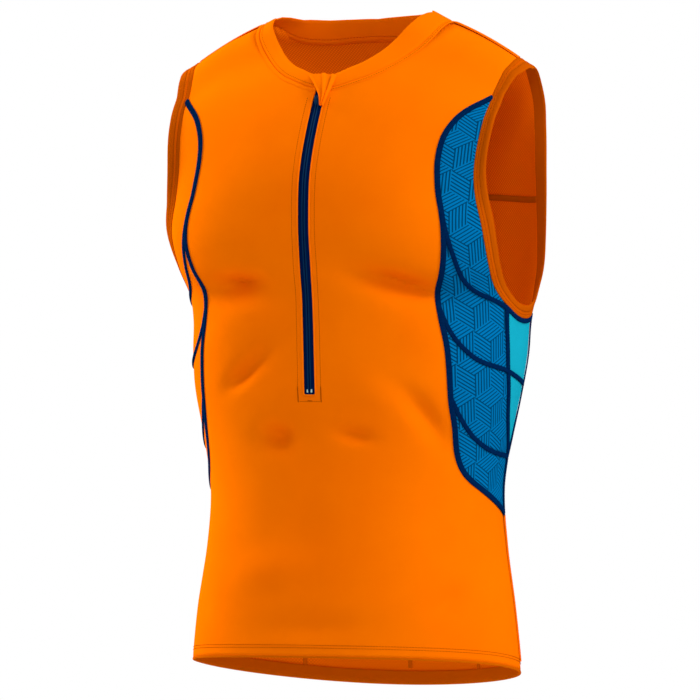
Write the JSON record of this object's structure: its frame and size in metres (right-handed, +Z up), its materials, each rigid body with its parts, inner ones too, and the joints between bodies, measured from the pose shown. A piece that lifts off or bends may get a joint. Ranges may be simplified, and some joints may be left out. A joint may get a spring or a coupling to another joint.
{
  "type": "triathlon singlet",
  "caption": "Sleeveless close-fitting sports top with a front half zip, low stand collar, bound armholes and shaped side panels, held open as worn.",
  "frame": {"origin": "midway between the wearer's shoulders at the height of the shoulder seams, where the wearer holds it up", "axes": "+X to the wearer's left, -Y the way the wearer faces, +Z up"},
  "size_m": [0.388, 0.2372, 0.6731],
  "materials": {
    "orange_knit": "smooth knit",
    "orange_mesh": "dotted mesh knit",
    "orange_band": "elastic band",
    "blue_print": "printed knit",
    "cyan_mesh": "fine mesh knit",
    "navy_thread": "flat-lock thread",
    "orange_thread": "flat-lock thread",
    "navy_zip": "woven tape and moulded coil",
    "stop_grey": "moulded"
  },
  "bodies": {
    "root": {"armhole_binding_left": "orange_band", "armhole_binding_right": "orange_band", "back_lower": "orange_mesh", "back_yoke": "orange_mesh", "collar": "orange_knit", "front": "orange_knit", "hem_turnup": "orange_band", "insert_left_1": "cyan_mesh", "insert_left_2": "cyan_mesh", "insert_right_1": "orange_mesh", "insert_right_2": "orange_mesh", "neck_tape": "orange_band", "rear_pocket": "orange_mesh", "seam_cross_left_1": "navy_thread", "seam_cross_left_2": "navy_thread", "seam_cross_left_3": "navy_thread", "seam_cross_right_1": "navy_thread", "seam_cross_right_2": "navy_thread", "seam_cross_right_3": "navy_thread", "seam_front_left_1": "navy_thread", "seam_front_left_2": "navy_thread", "seam_front_right_1": "navy_thread", "seam_front_right_2": "navy_thread", "seam_insert_left": "navy_thread", "seam_insert_right": "navy_thread", "seam_side_left_1": "navy_thread", "seam_side_left_2": "navy_thread", "seam_side_left_3": "navy_thread", "seam_side_left_4": "orange_thread", "seam_side_right_1": "navy_thread", "seam_side_right_2": "navy_thread", "seam_side_right_3": "navy_thread", "seam_side_right_4": "orange_thread", "side_panel_left_1": "blue_print", "side_panel_left_2": "blue_print", "side_panel_left_3": "blue_print", "side_panel_left_4": "blue_print", "side_panel_right_1": "orange_knit", "side_panel_right_2": "orange_knit", "side_panel_right_3": "orange_knit", "side_panel_right_4": "orange_knit", "yoke_tape": "orange_band", "zip_coil": "navy_zip", "zip_garage": "orange_knit", "zip_slider": "navy_zip", "zip_stop": "stop_grey", "zip_tape_left": "navy_zip", "zip_tape_right": "navy_zip"}
  },
  "joints": []
}
